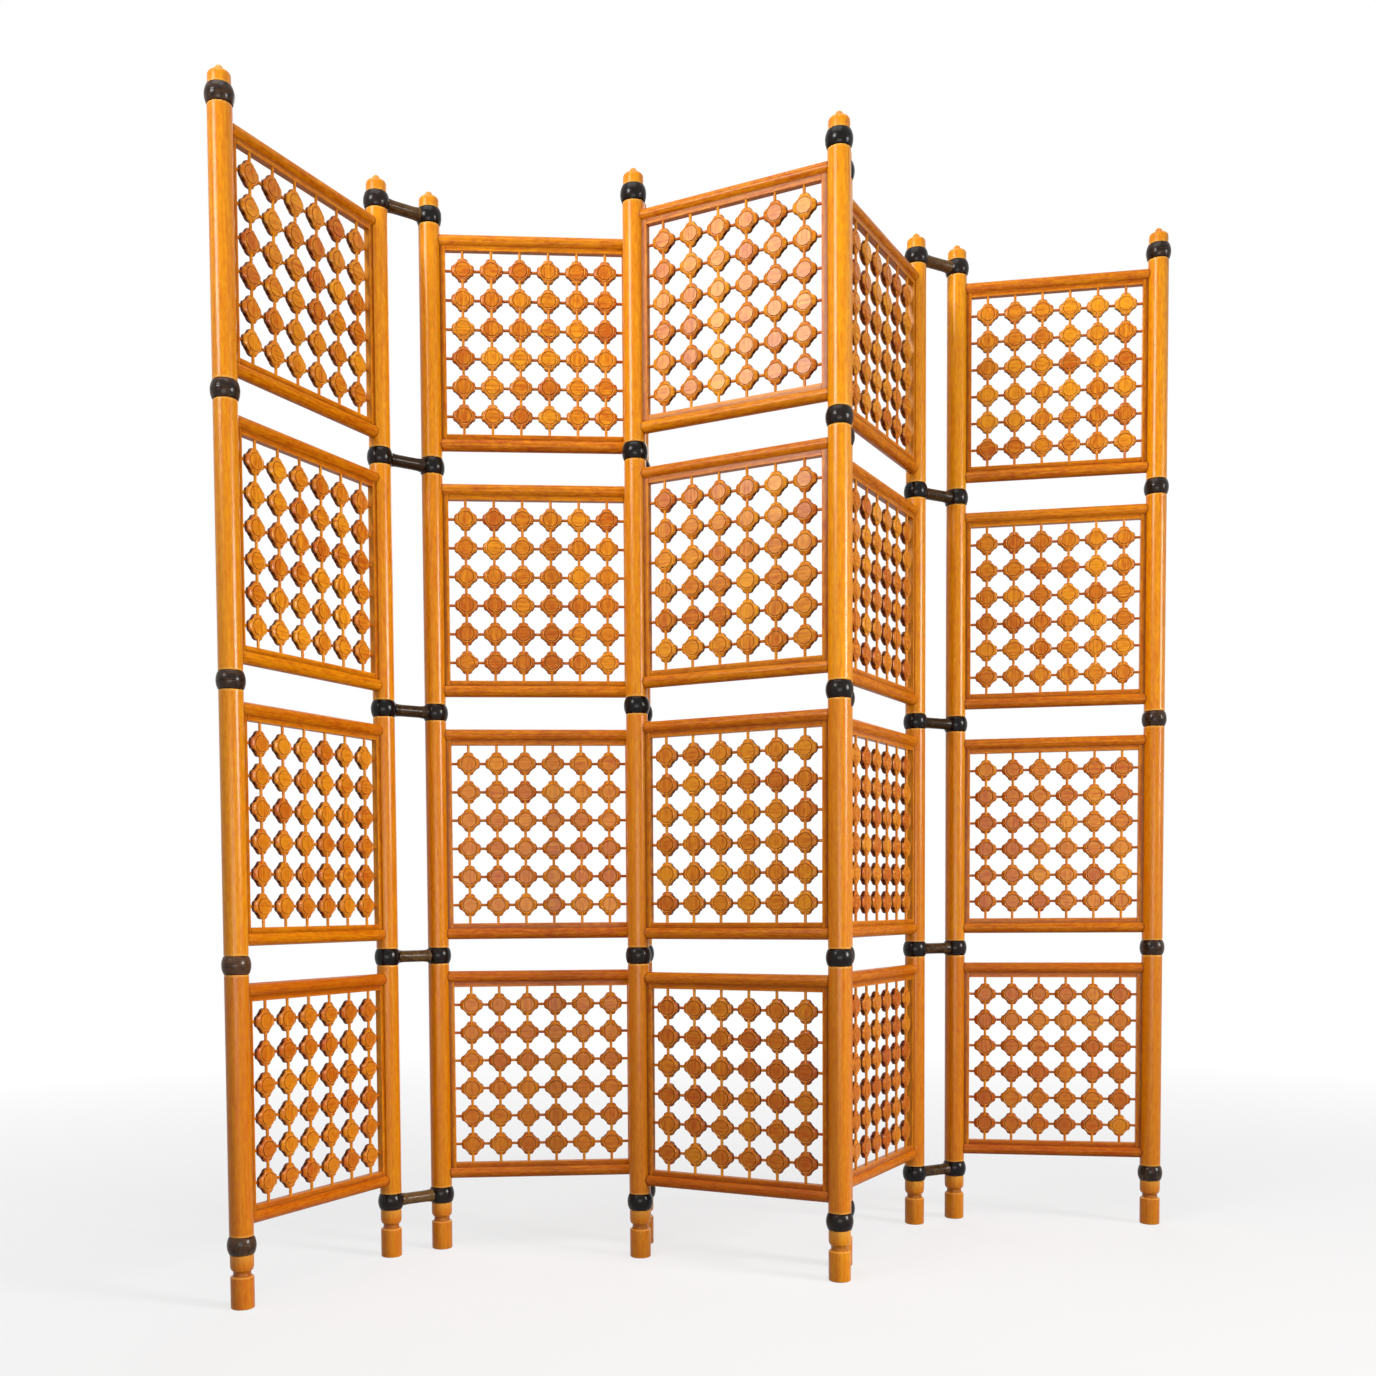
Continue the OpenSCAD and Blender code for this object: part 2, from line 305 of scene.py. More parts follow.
# ---------- posts, feet and finials ----------
def post_section(height):
    """Profile of a post section, and how much each of its rings is lightened or darkened."""
    ease = 0.0009
    steps = 12
    body = [(POST_R, ease + (height - 2 * ease) * i / steps) for i in range(steps + 1)]
    rim = 0.0022
    rings = [(POST_R - 0.002, 0.0), (POST_R - ease, 0.0), (POST_R - ease / 3, ease / 3),
             body[0], (POST_R, rim), (POST_R, 2 * rim)]
    rings += body[1:-1]
    rings += [(POST_R, height - 2 * rim), (POST_R, height - rim), body[-1],
              (POST_R - ease / 3, height - ease / 3), (POST_R - ease, height),
              (POST_R - 0.002, height)]
    # a pale band near each end; the end itself, where the section meets a collar, gets painted
    # shade
    tone_shift = [0.8, 0.9, 0.6, 0]
    wear_and_painted_light = [-1, -0.9] + tone_shift + [0] * (steps - 1) + tone_shift[::-1] + [-0.9, -1]
    return rings, wear_and_painted_light


def posts(side):
    """The four turned sections of a leaf's left or right post."""
    piece = Piece()
    around = 64
    axis = np.array([LEAF_PITCH if side == "right" else 0, 0, 0])
    for j in range(PANELS):
        rings, wear_and_painted_light = post_section(SECTION_H)
        points, faces = skin(lathe(rings, around))
        points = points + axis + [0, 0, level_z(j) + COLLAR_GAP]
        # each section gets the painted shade of its level
        piece.add(points, faces, UP, shade(0.05, 0.05, LOW_PAINTED_SHADE[j]), spread(wear_and_painted_light, around))
    return piece


def foot_profile():
    """A short turned foot: a round-edged drum, a neck and an ovolo up to the collar."""
    neck_r = 0.014
    drum_top, neck_top = 0.051, 0.0595
    top = LEVEL_BASE - COLLAR_GAP
    edge, shoulder = 0.0022, 0.0022
    rings = [(FOOT_R - edge - 0.003, 0.0)]
    rings += arc((FOOT_R - edge, edge), edge, -90, 0, 4)
    rings += arc((FOOT_R - shoulder, drum_top - shoulder), shoulder, 0, 70, 4)
    rings += [(neck_r + 0.0009, drum_top + 0.0009), (neck_r, drum_top + 0.0024)]
    rings += [(neck_r, neck_top - 0.0008), (neck_r + 0.0004, neck_top)]
    # the ovolo over the neck is twice as tall as it is wide
    width, tall = FOOT_R - neck_r - 0.0008, 0.009
    rings += [(FOOT_R - width + width * x, neck_top + 0.0003 + tall * (1 + y))
              for x, y in arc((0, 0), 1, -86, 0, 6)]
    rings += [(FOOT_R, top - 0.0006), (FOOT_R - 0.0006, top), (FOOT_R - 0.004, top)]
    # painted shade in the neck; the drum's top, the top edge and the bottom edge are rubbed
    # lighter
    wear_and_painted_light = []
    for radius, height in rings:
        in_neck = radius < neck_r + 0.001
        on_rim = drum_top - 0.002 < height < drum_top + 0.0005 or height > top - 0.001
        wear_and_painted_light.append(-0.5 if in_neck else (0.6 if on_rim or height < 0.002 else 0.0))
    return rings, wear_and_painted_light


def finial_profile():
    """A straight side, a round shoulder and a hollow that rises into a domed tip."""
    straight, shoulder, tip_r = 0.0138, 0.0072, 0.0068
    tip = arc((0, FINIAL_H - tip_r), tip_r, 14, 84, 8)
    hollow = [(0.0130, 0.0207), (0.0112, 0.0214), (0.0097, 0.0222), (0.0084, 0.0232),
              (0.0074, 0.0244)]
    rings = [(FINIAL_R - 0.003, 0.0), (FINIAL_R - 0.0005, 0.0), (FINIAL_R, 0.0006)]
    rings += [(FINIAL_R, straight * f) for f in (0.3, 0.6)]
    rings += arc((FINIAL_R - shoulder, straight), shoulder, 0, 62, 7)
    # painted shade at the foot and in the hollow; the lower edge is rubbed lighter, and the tip
    # a little
    wear_and_painted_light = [-0.6, 0.7, 0.6, 0.1] + [0.0] * (len(rings) - 4)
    return rings + hollow + tip, wear_and_painted_light + [-0.3] * len(hollow) + [0.1] * len(tip)


def turned(profile, height, around=48):
    """The same turned piece on both posts of a leaf."""
    rings, wear_and_painted_light = profile
    piece = Piece()
    for x in (0, LEAF_PITCH):
        points, faces = skin(lathe(rings, around))
        # the feet get the painted shade of the lowest level
        red = LOW_PAINTED_SHADE[0] if height == 0 else 0.0
        piece.add(points + [x, 0, height], faces, UP, shade(0.07, 0.08, red),
                  spread(wear_and_painted_light, around))
    return piece


# ---------- rails and stiles ----------
def post_face(y):
    """How far the side of a post stands from its axis, at a depth y."""
    reach = POST_R + FIT
    return np.sqrt(reach * reach - y * y)


def bead_face(y):
    """How far the side of a bead stands from its axis, at a depth y."""
    reach = BEAD_R + FIT
    return np.sqrt(reach * reach - y * y)


def rail(piece, height, up, red):
    """A round bead from post to post with a flat fillet on its inner side, up being 1 or -1."""
    tint = shade(0.08, 0.08, red)
    around = 40
    angles = np.arange(around) / around * math.tau
    y, z = BEAD_R * np.cos(angles), BEAD_R * np.sin(angles)
    ends = post_face(y)
    fractions = [0, 0.004, 0.012, 0.1, 0.3, 0.5, 0.7, 0.9, 0.988, 0.996, 1]
    rings = []
    for f in fractions:
        x = ends + (LEAF_PITCH - 2 * ends) * f
        rings.append(np.stack([x, y, height + z], axis=1))
    # painted shade at both ends, where the bead meets the posts
    wear_and_painted_light = [-1, -0.35, 0.1, 0, 0, 0, 0, 0, 0.1, -0.35, -1]
    points, faces = skin(rings)
    piece.add(points, faces, ALONG, tint, spread(wear_and_painted_light, around))
    ease = 0.0006
    half = FLAT_T / 2
    low, high, quirk = BEAD_R * FILLET_FROM, RAIL_H - BEAD_R, BEAD_R * FILLET_SHADE_END
    outline = np.array([(-half, low), (-half, quirk), (-half, high - ease),
                        (-half + ease, high), (half - ease, high), (half, high - ease),
                        (half, quirk), (half, low)])
    # painted shade: the fillet's lowest edges are darkened in the corner that they make with the
    # bead, and its upper edges are rubbed lighter
    shade_and_wear = np.array([-1, -0.5, 0.25, 0.3, 0.3, 0.25, -0.5, -1])
    start, end = STILE_REACH + FIT, LEAF_PITCH - STILE_REACH - FIT
    stations = [start, start + 0.0005, start + 0.003]
    stations += [start + (end - start) * f for f in (0.25, 0.5, 0.75)]
    stations += [end - 0.003, end - 0.0005, end]
    # painted shade at both ends of the fillet, where it meets the stiles
    painted_end_shade = [-0.8, -0.2, 0, 0, 0, 0, 0, -0.2, -0.8]
    rings, wear_and_painted_light = [], []
    for x, along in zip(stations, painted_end_shade):
        rings.append(np.stack([np.full(len(outline), x), outline[:, 0],
                               height + up * outline[:, 1]], axis=1))
        wear_and_painted_light.append(shade_and_wear + along)
    rings, wear_and_painted_light = np.array(rings), np.array(wear_and_painted_light)
    if up > 0:
        rings, wear_and_painted_light = rings[:, ::-1], wear_and_painted_light[:, ::-1]
    points, faces = skin(rings)
    piece.add(points, faces, ALONG, tint, capped(wear_and_painted_light))


def rails(up):
    """The bottom rails of a leaf's panels if up is 1, and the top rails if it is -1."""
    piece = Piece()
    for j in range(PANELS):
        low = panel_z(j) + BEAD_R
        high = panel_z(j) + PANEL_H - BEAD_R
        # each rail gets the painted shade of its level
        rail(piece, low if up > 0 else high, up, LOW_PAINTED_SHADE[j])
    return piece


def stile(piece, j, side):
    """A flat strip beside a post, hollowed to the post and scribed to both beads."""
    ease = 0.0006
    half = FLAT_T / 2
    steps = 7
    hollow = [(post_face(y), y) for y in np.linspace(-half + ease, half - ease, steps)]
    outline = hollow + [(STILE_REACH - ease, half), (STILE_REACH, half - ease),
                        (STILE_REACH, -half + ease), (STILE_REACH - ease, -half)]
    outline.insert(steps, (post_face(half) + 0.0002, half))
    outline.append((post_face(half) + 0.0002, -half))
    outline = np.array(outline)
    # painted shade along the hollow against the post; the outer edges are rubbed lighter
    shade_and_wear = np.array([-1] * steps + [-0.9, 0.15, 0.3, 0.3, 0.15, -0.9])
    axis = 0 if side == "left" else LEAF_PITCH
    sign = 1 if side == "left" else -1
    low = panel_z(j) + BEAD_R + bead_face(outline[:, 1])
    high = panel_z(j) + PANEL_H - BEAD_R - bead_face(outline[:, 1])
    stations = [0, 0.002, 0.012, 0.2, 0.4, 0.6, 0.8, 0.988, 0.998, 1]
    # painted shade at both ends, against the beads
    ends = [-0.8, -0.2, 0, 0, 0, 0, 0, 0, -0.2, -0.8]
    rings, wear_and_painted_light = [], []
    for f, along in zip(stations, ends):
        z = low + (high - low) * f
        rings.append(np.stack([axis + sign * outline[:, 0], outline[:, 1], z], axis=1))
        wear_and_painted_light.append(shade_and_wear + along)
    rings, wear_and_painted_light = np.array(rings), np.array(wear_and_painted_light)
    if sign > 0:
        rings, wear_and_painted_light = rings[:, ::-1], wear_and_painted_light[:, ::-1]
    points, faces = skin(rings)
    piece.add(points, faces, UP, shade(0.05, 0.06), capped(wear_and_painted_light))


def stiles():
    """The strips beside both posts of a leaf, two to each panel."""
    piece = Piece()
    for j in range(PANELS):
        for side in ("left", "right"):
            stile(piece, j, side)
    return piece


# ---------- lattice ----------
def block_outline():
    """Half of a lobe's edge, (x, z) pairs from its tip to the flat that a hole is drilled in."""
    half = BLOCK_W / 2
    cheek = [(FLAT_NEAR + (half - FLAT_NEAR) * x, LOBE_TIP + (FLAT_FAR - LOBE_TIP) * z)
             for x, z in arc((0, 0), 1, 0, 90, 5)]
    return [(half, 0.0)] + cheek


def block_ring():
    """The edge once round, as an array of (x, z); the flats' corners and middles are in it."""
    side = block_outline()
    middle = (FLAT_NEAR + FLAT_FAR) / 2
    back = [(z, x) for x, z in reversed(side[1:])]
    quarter = side + [(middle, middle)] + back
    turns = [(1, 0), (0, 1), (-1, 0), (0, -1)]
    return np.array([(c * x - s * z, s * x + c * z) for c, s in turns for x, z in quarter])


def drilled_flat(front, back, out):
    """The flat between two lobes, from its front edge to its back edge, with a blind hole."""
    around = 12
    middle = (front.mean(0) + back.mean(0)) / 2
    width = front[-1] - front[0]
    width = width / np.linalg.norm(width)
    angles = np.arange(around) / around * math.tau
    circle = np.outer(np.cos(angles), width) + np.outer(np.sin(angles), [0, -1, 0])
    edge = np.vstack([front, back[::-1]])
    steps = ((HOLE_R, 0.0, -0.6), (HOLE_R - 0.0003, 0.0004, -0.95),
             (HOLE_R - 0.0004, HOLE_DEPTH, -1.0))
    rings = [middle + radius * circle - depth * out for radius, depth, _ in steps]
    points = np.vstack([edge, *rings, middle - (HOLE_DEPTH + 0.0008) * out])
    # every corner of the edge is joined to the part of the circle that faces it
    offset = edge - middle
    seen = np.arctan2(-offset[:, 1], offset @ width) % math.tau
    count = len(edge)
    nearest = [int(round(a / math.tau * around)) % around for a in seen]
    triangles = []
    for i in range(count):
        j = (i - 1) % count
        triangles.append((i, j, count + nearest[i]))
        k = nearest[i]
        while k != nearest[j]:
            triangles.append((count + k, j, count + (k + 1) % around))
            k = (k + 1) % around
    faces = [np.array(triangles)]
    k = np.arange(around)
    n = (k + 1) % around
    for ring in range(len(rings) - 1):
        first = count + ring * around
        second = first + around
        faces.append(np.stack([first + k, first + n, second + n, second + k], axis=1))
    last = count + (len(rings) - 1) * around
    faces.append(np.stack([last + k, last + n, np.full(around, len(points) - 1)], axis=1))
    # painted shade: the flat's edge is darkened, and the hole most at its bottom
    wear_and_painted_light = [-0.95] * count + [w for *_, w in steps for _ in range(around)] + [-0.6]
    return points, faces, np.array(wear_and_painted_light)


def block_shape():
    """Points, faces, and wear and painted light of one block, its middle at the origin and its
    face towards -Y.
    """
    outline = block_ring()
    around = len(outline)
    reach = np.hypot(outline[:, 0], outline[:, 1])
    way = outline / reach[:, None]
    half = BLOCK_T / 2
    lobe = np.clip((reach - FLAT_NEAR) / (BLOCK_W / 2 - FLAT_NEAR), 0, 1)
    side_half = half - RIM_DROP - TIP_DROP * lobe
    one = np.ones(around)
    # a disc, a groove with a steep inner wall and a broad outer one, and a narrow rim; painted
    # shade in the groove, and a painted highlight on the ring outside it
    rings = [(GROOVE_R - GROOVE_WALL, half, 0.15),
             (GROOVE_R - GROOVE_WALL / 2, half - GROOVE_D, -0.6),
             (GROOVE_R + 0.0002, half - GROOVE_D, -0.6),
             (DISC_R - DISC_EASE, half - 0.0003, 0.7),
             (DISC_R, half - 0.0001, 0.8)]
    # painted shade: the slope darkens a little towards the edge, and the rim more
    for f, tone_shift in ((0.12, 0.0), (0.45, 0.0), (0.78, -0.15)):
        radius = DISC_R + (reach - DISC_R) * f
        drop = 0.2 * min(1, f / 0.12) + 0.3 * f + 0.5 * (1 - math.sqrt(1 - f * f))
        rings.append((radius, half - 0.0002 - (half - side_half - 0.0002) * drop, tone_shift))
    rings.append((reach, side_half, -0.55))
    # painted shade: the sides are darker than the face, up to just under its edge
    rings.append((reach, side_half - SIDE_SHADE_BAND, -0.95))
    front = [np.stack([way[:, 0] * radius, -height * one, way[:, 1] * radius], axis=1)
             for radius, height, _ in rings]
    back = [ring * [1, -1, 1] for ring in reversed(front)]
    cap = np.concatenate([np.repeat([tone_shift for *_, tone_shift in rings], around), [0]])
    parts = []
    for stack, turn in ((front, -1), (back[::-1], 1)):
        points, faces = skin(np.array(stack))
        # the second cap would close the block's inside, which the sides do instead
        parts.append((points[:-1], [face[:, ::turn] for face in faces[:-1]], cap))
    quarter = around // 4
    flats = [quarter * turn + quarter // 2 for turn in range(4)]
    drilled = {(flat + side) % around for flat in flats for side in (-1, 0)}
    plain = np.array([i for i in range(around) if i not in drilled])
    after = (plain + 1) % around
    rims = np.vstack([front[-1], back[0]])
    sides = np.stack([plain, plain + around, after + around, after], axis=1)
    # painted shade on the plain sides
    parts.append((rims, [sides], np.full(2 * around, -0.95)))
    for flat in flats:
        at = [flat - 1, flat, (flat + 1) % around]
        out = np.array([way[flat, 0], 0, way[flat, 1]])
        parts.append(drilled_flat(front[-1][at], back[0][at], out))
    return joined(parts)


def joined(parts):
    """Several sets of points, faces, and wear and painted light as one, with points at the same
    place shared.
    """
    points = np.vstack([p for p, _, _ in parts])
    wear_and_painted_light = np.concatenate([w for *_, w in parts])
    _, first, shared = np.unique(points.round(6), axis=0, return_index=True,
                                 return_inverse=True)
    shared = shared.ravel()
    faces, start = [], 0
    for p, some, _ in parts:
        faces += [shared[face + start] for face in some]
        start += len(p)
    return points[first], faces, wear_and_painted_light[first]


def block_tint(panel_tone):
    """Most blocks are tan; some are lighter and some redder, round their panel's tone, which
    holds the painted shade of its level.
    """
    kind = rng.random()
    if kind < 0.15:
        tone = (rng.uniform(0.15, 0.4), 0.0)
    elif kind < 0.4:
        tone = (rng.uniform(-0.3, -0.05), rng.uniform(0.1, 0.3))
    else:
        tone = (rng.gauss(0.0, 0.12), rng.uniform(0.0, 0.15))
    return (tone[0] + panel_tone[0], max(0.0, tone[1] + panel_tone[1]), rng.random())


def blocks(j):
    """A panel's blocks, each cut from a plank of its own, with upright or level fibres."""
    piece = Piece()
    points, faces, wear_and_painted_light = block_shape()
    # a panel's tone: random lightness, and the painted shade of its level with some random
    # redness
    panel_tone = (rng.gauss(0.0, 0.06), rng.gauss(LOW_PAINTED_SHADE[j], 0.05))
    for row in range(BLOCKS):
        for col in range(BLOCKS):
            middle = [block_x(col), 0, block_z(j, row)]
            along = UP if rng.random() < 0.5 else ALONG
            piece.add(points + middle, faces, along, block_tint(panel_tone), wear_and_painted_light)
    return piece


def rods(upright):
    """A leaf's upright rods, made lighter as a painted highlight, or its level ones, which lie
    behind them and are made darker and redder as painted shade.
    """
    piece = Piece()
    around = 16
    # painted light: the upright rods are made lighter, and the level ones darker and redder
    lightness, red = (0.15, 0.12) if upright else (-0.2, 0.3)
    for j in range(PANELS):
        for i in range(BLOCKS):
            length = (OPENING_H if upright else OPENING_W) + 2 * ROD_SEAT
            profile = [(ROD_R, 0), (ROD_R, length / 2), (ROD_R, length)]
            points, faces = skin(lathe(profile, around))
            if upright:
                start = [block_x(i), -ROD_Y, panel_z(j) + RAIL_H - ROD_SEAT]
            else:
                points = points[:, [2, 0, 1]]
                start = [STILE_REACH - ROD_SEAT, ROD_Y, block_z(j, i)]
            tone = shade(0.1, 0.1, red)
            tone = (tone[0] + lightness, *tone[1:])
            piece.add(points + start, faces, UP if upright else ALONG, tone)
    return piece


# ---------- collars and bars ----------
def barrel_r(z):
    """Radius of a collar's side at a height z from its middle."""
    sag = COLLAR_R - COLLAR_END_R
    radius = ((COLLAR_H / 2) ** 2 + sag * sag) / (2 * sag)
    return COLLAR_R - radius + np.sqrt(radius * radius - z * z)


def collar_profile(grooved):
    """Section of a collar from the foot of its bore, out, over the barrel and back in."""
    half = COLLAR_H / 2
    ease = 0.0007
    rings = [(BORE_R, -half + 0.0004), (BORE_R + 0.0004, -half), (COLLAR_END_R - ease, -half)]
    # painted shade in the bore, here and at the top; the barrel is rubbed more towards its ends
    wear_and_painted_light = [-1, -0.8, 0.1]
    steps = 20
    grooves = (0.44, 0.57) if grooved else ()
    heights = [-half + ease + (COLLAR_H - 2 * ease) * i / steps for i in range(steps + 1)]
    for z in heights:
        rings.append((barrel_r(z), z))
        wear_and_painted_light.append(abs(z) / half * 0.6)
    for share in grooves:
        z = -half + COLLAR_H * share
        for offset, depth in ((-0.0005, 0.0), (0.0, 0.0004), (0.0005, 0.0)):
            rings.append((barrel_r(z + offset) - depth, z + offset))
            # painted shade in each groove, rubbed lighter beside it
            wear_and_painted_light.append(-0.7 if depth else 0.5)
    order = sorted(range(3, len(rings)), key=lambda i: rings[i][1])
    rings = rings[:3] + [rings[i] for i in order]
    wear_and_painted_light = wear_and_painted_light[:3] + [wear_and_painted_light[i] for i in order]
    rings += [(COLLAR_END_R - ease, half), (BORE_R + 0.0004, half), (BORE_R, half - 0.0004)]
    wear_and_painted_light += [0.1, -0.8, -1]
    return rings, wear_and_painted_light


def collars(xs, grooved):
    """Collars at every level, at the given distances along X."""
    piece = Piece()
    around = 56
    rings, wear_and_painted_light = collar_profile(grooved)
    for i in range(LEVELS):
        for x in xs:
            points, faces = skin(lathe(rings, around), closed=False)
            inner = len(rings) * around - around + np.arange(around)
            outer = np.arange(around)
            bore = np.stack([inner, np.roll(inner, -1), np.roll(outer, -1), outer], axis=1)
            piece.add(points + [x, 0, level_z(i)], faces + [bore], UP, shade(0.1, 0.3),
                      spread(wear_and_painted_light, around, 0))
    return piece


def bars(pitch):
    """Round bars, a little thicker at both ends, scribed to the barrel of each collar."""
    piece = Piece()
    around = 32
    angles = np.arange(around) / around * math.tau
    stations = [0, 0.02, 0.06, 0.12, 0.2, 0.35, 0.5, 0.65, 0.8, 0.88, 0.94, 0.98, 1]
    for i in range(LEVELS):
        rings, wear_and_painted_light = [], []
        for f in stations:
            from_end = min(f, 1 - f) * (pitch - 2 * COLLAR_R)
            radius = BAR_R + BAR_FLARE * math.exp(-((from_end / 0.006) ** 2))
            y, z = radius * np.cos(angles), radius * np.sin(angles)
            start = np.sqrt((barrel_r(z) + FIT) ** 2 - y * y)
            x = start + (pitch - 2 * start) * f
            rings.append(np.stack([x, y, z], axis=1))
            # painted shade at each end, where the bar meets a collar
            wear_and_painted_light.append(-0.8 if from_end < 0.0005 else 0.15)
        points, faces = skin(rings)
        piece.add(points + [0, 0, level_z(i)], faces, ALONG, shade(0.12, 0.3),
                  spread(wear_and_painted_light, around))
    return piece


# ---------- materials ----------
def linear(*levels):
    """A colour given by its display levels, 0 to 255, as Blender wants it."""
    def one(level):
        v = level / 255
        return v / 12.92 if v <= 0.04045 else ((v + 0.055) / 1.055) ** 2.4
    return (*(one(v) for v in levels), 1.0)


class Nodes:
    """Short names for building a material's nodes."""

    def __init__(self, name):
        self.material = bpy.data.materials.new(name)
        self.material.use_nodes = True
        self.tree = self.material.node_tree
        self.shader = self.tree.nodes["Principled BSDF"]

    def new(self, kind, inputs=None, **settings):
        """A node of a kind, with its settings and the values or links of its inputs."""
        node = self.tree.nodes.new(kind)
        for key, value in settings.items():
            setattr(node, key, value)
        for key, value in (inputs or {}).items():
            self.put(node.inputs[key], value)
        return node

    def put(self, socket, value):
        """Links a socket to a node's output, or sets its value."""
        if isinstance(value, bpy.types.NodeSocket):
            self.tree.links.new(value, socket)
        else:
            socket.default_value = value

    def attribute(self, name, output="Vector"):
        """An attribute of the mesh."""
        return self.new("ShaderNodeAttribute", attribute_name=name).outputs[output]

    def stretched(self, vector, across, along):
        """The place in the plank, scaled across the fibres and along them."""
        inputs = {"Vector": vector, "Scale": (across, across, along)}
        return self.new("ShaderNodeMapping", inputs).outputs["Vector"]

    def noise(self, vector, scale, detail=3.0, distortion=0.0):
        """A noise of about this many spots to the metre."""
        inputs = {"Vector": vector, "Scale": scale, "Detail": detail,
                  "Distortion": distortion}
        return self.new("ShaderNodeTexNoise", inputs).outputs["Fac"]

    def math(self, operation, a, b=0.0, clamp=False):
        """One sum, difference or product, held between 0 and 1 if clamp is set."""
        node = self.new("ShaderNodeMath", operation=operation, use_clamp=clamp)
        self.put(node.inputs[0], a)
        self.put(node.inputs[1], b)
        return node.outputs[0]

    def between(self, value, low, high, new_low=0.0, new_high=1.0):
        """A value's way from low to high, as a way from new_low to new_high, and no further."""
        inputs = {"Value": value, "From Min": low, "From Max": high,
                  "To Min": new_low, "To Max": new_high}
        return self.new("ShaderNodeMapRange", inputs).outputs["Result"]

    def mix(self, share, a, b):
        """Colour a, with this share of colour b in it."""
        node = self.new("ShaderNodeMix", data_type="RGBA", blend_type="MIX")
        self.put(node.inputs[0], share)
        self.put(node.inputs[6], a)
        self.put(node.inputs[7], b)
        return node.outputs[2]

    def parts(self, vector):
        """The three numbers of a vector."""
        return self.new("ShaderNodeSeparateXYZ", {"Vector": vector}).outputs

    def bump(self, height, strength, distance):
        """A normal that follows a height, with its full depth in metres."""
        inputs = {"Height": height, "Strength": strength, "Distance": distance}
        return self.new("ShaderNodeBump", inputs).outputs["Normal"]


# most of a noise's values lie between these two
NOISE_LOW, NOISE_HIGH = 0.3, 0.7
# the gloss comes from the coat, and the wood under it has little of its own
BARE_GLOSS = 0.05
VARNISH_ROUGHNESS = 0.22
LACQUER_ROUGHNESS = 0.16
# what each layer gives to the figure of the wood
STREAK_SHARE, BROAD_SHARE, MOTTLE_SHARE, RING_SHARE = 0.42, 0.12, 0.36, 0.14
PORE_SHARE = 0.22
PORE_COLOUR = linear(120, 52, 4)
# positive values lighten towards this colour: rubbed edges, and a painted highlight round each
# block's disc
RUBBED_AND_HIGHLIGHT_COLOUR, RUBBED_AND_HIGHLIGHT_SHARE = linear(255, 190, 84), 0.6
# negative values darken towards this colour: painted shade in corners, grooves, holes, joints
# and on the blocks' sides
PAINTED_SHADE_COLOUR, PAINTED_SHADE_SHARE = linear(84, 26, 2), 0.9
# the painted shade in the lacquer's grooves, bores and joints
PAINTED_SHADE_BLACK, PAINTED_SHADE_BLACK_SHARE = linear(12, 7, 4), 0.7


def wood(name, light, dark, red, *, figure, roughness, coat):
    """Varnished wood: streaks and rings along the grain, pores, its tint, wear, painted shade
    and a painted highlight.

    figure is how far the colour goes from the middle of light and dark to either of them.
    """
    n = Nodes(name)
    grain = n.attribute("grain")
    tint = n.parts(n.attribute("tint"))
    wear_and_painted_light = n.attribute("wear_and_painted_light", "Fac")
    streaks = n.noise(n.stretched(grain, 1, 0.06), 330, 5)
    mottle = n.noise(n.stretched(grain, 1, 0.4), 190, 3)
    broad = n.noise(n.stretched(grain, 1, 0.09), 55, 3, 0.8)
    rings = n.new("ShaderNodeTexWave", {
        "Vector": n.stretched(grain, 1, 0.05), "Scale": 55.0, "Distortion": 5.0,
        "Detail": 2.0, "Detail Scale": 1.2,
    }, bands_direction="X", wave_profile="SAW").outputs["Fac"]
    pore = n.between(n.noise(n.stretched(grain, 1, 0.04), 1300, 1), 0.60, 0.72)
    share = n.between(streaks, NOISE_LOW, NOISE_HIGH, 0.0, STREAK_SHARE)
    for layer, most in ((broad, BROAD_SHARE), (mottle, MOTTLE_SHARE)):
        more = n.between(layer, NOISE_LOW, NOISE_HIGH, 0.0, most)
        share = n.math("ADD", share, more)
    share = n.math("ADD", share, n.math("MULTIPLY", rings, RING_SHARE))
    share = n.between(share, 0.0, 1.0, 0.5 - figure, 0.5 + figure)
    colour = n.mix(n.math("ADD", share, tint[0], True), dark, light)
    colour = n.mix(tint[1], colour, red)
    colour = n.mix(n.math("MULTIPLY", pore, PORE_SHARE), colour, PORE_COLOUR)
    # rubbed edges and the painted highlight
    colour = n.mix(n.between(wear_and_painted_light, 0.0, 1.0, 0.0, RUBBED_AND_HIGHLIGHT_SHARE), colour, RUBBED_AND_HIGHLIGHT_COLOUR)
    # painted shade
    colour = n.mix(n.between(wear_and_painted_light, 0.0, -1.0, 0.0, PAINTED_SHADE_SHARE), colour, PAINTED_SHADE_COLOUR)
    n.put(n.shader.inputs["Base Color"], colour)
    n.put(n.shader.inputs["Roughness"], n.between(broad, NOISE_LOW, NOISE_HIGH,
                                                  roughness - 0.05, roughness + 0.05))
    n.put(n.shader.inputs["Specular IOR Level"], BARE_GLOSS)
    n.put(n.shader.inputs["Coat Weight"], coat)
    n.put(n.shader.inputs["Coat Roughness"], VARNISH_ROUGHNESS)
    relief = n.math("SUBTRACT", n.math("MULTIPLY", streaks, 0.35), n.math("MULTIPLY", pore, 0.4))
    waves = n.noise(n.stretched(grain, 1, 0.2), 45, 2)
    relief = n.math("ADD", relief, n.math("MULTIPLY", waves, 1.2))
    n.put(n.shader.inputs["Normal"], n.bump(relief, 0.3, 0.0004))
    return n.material


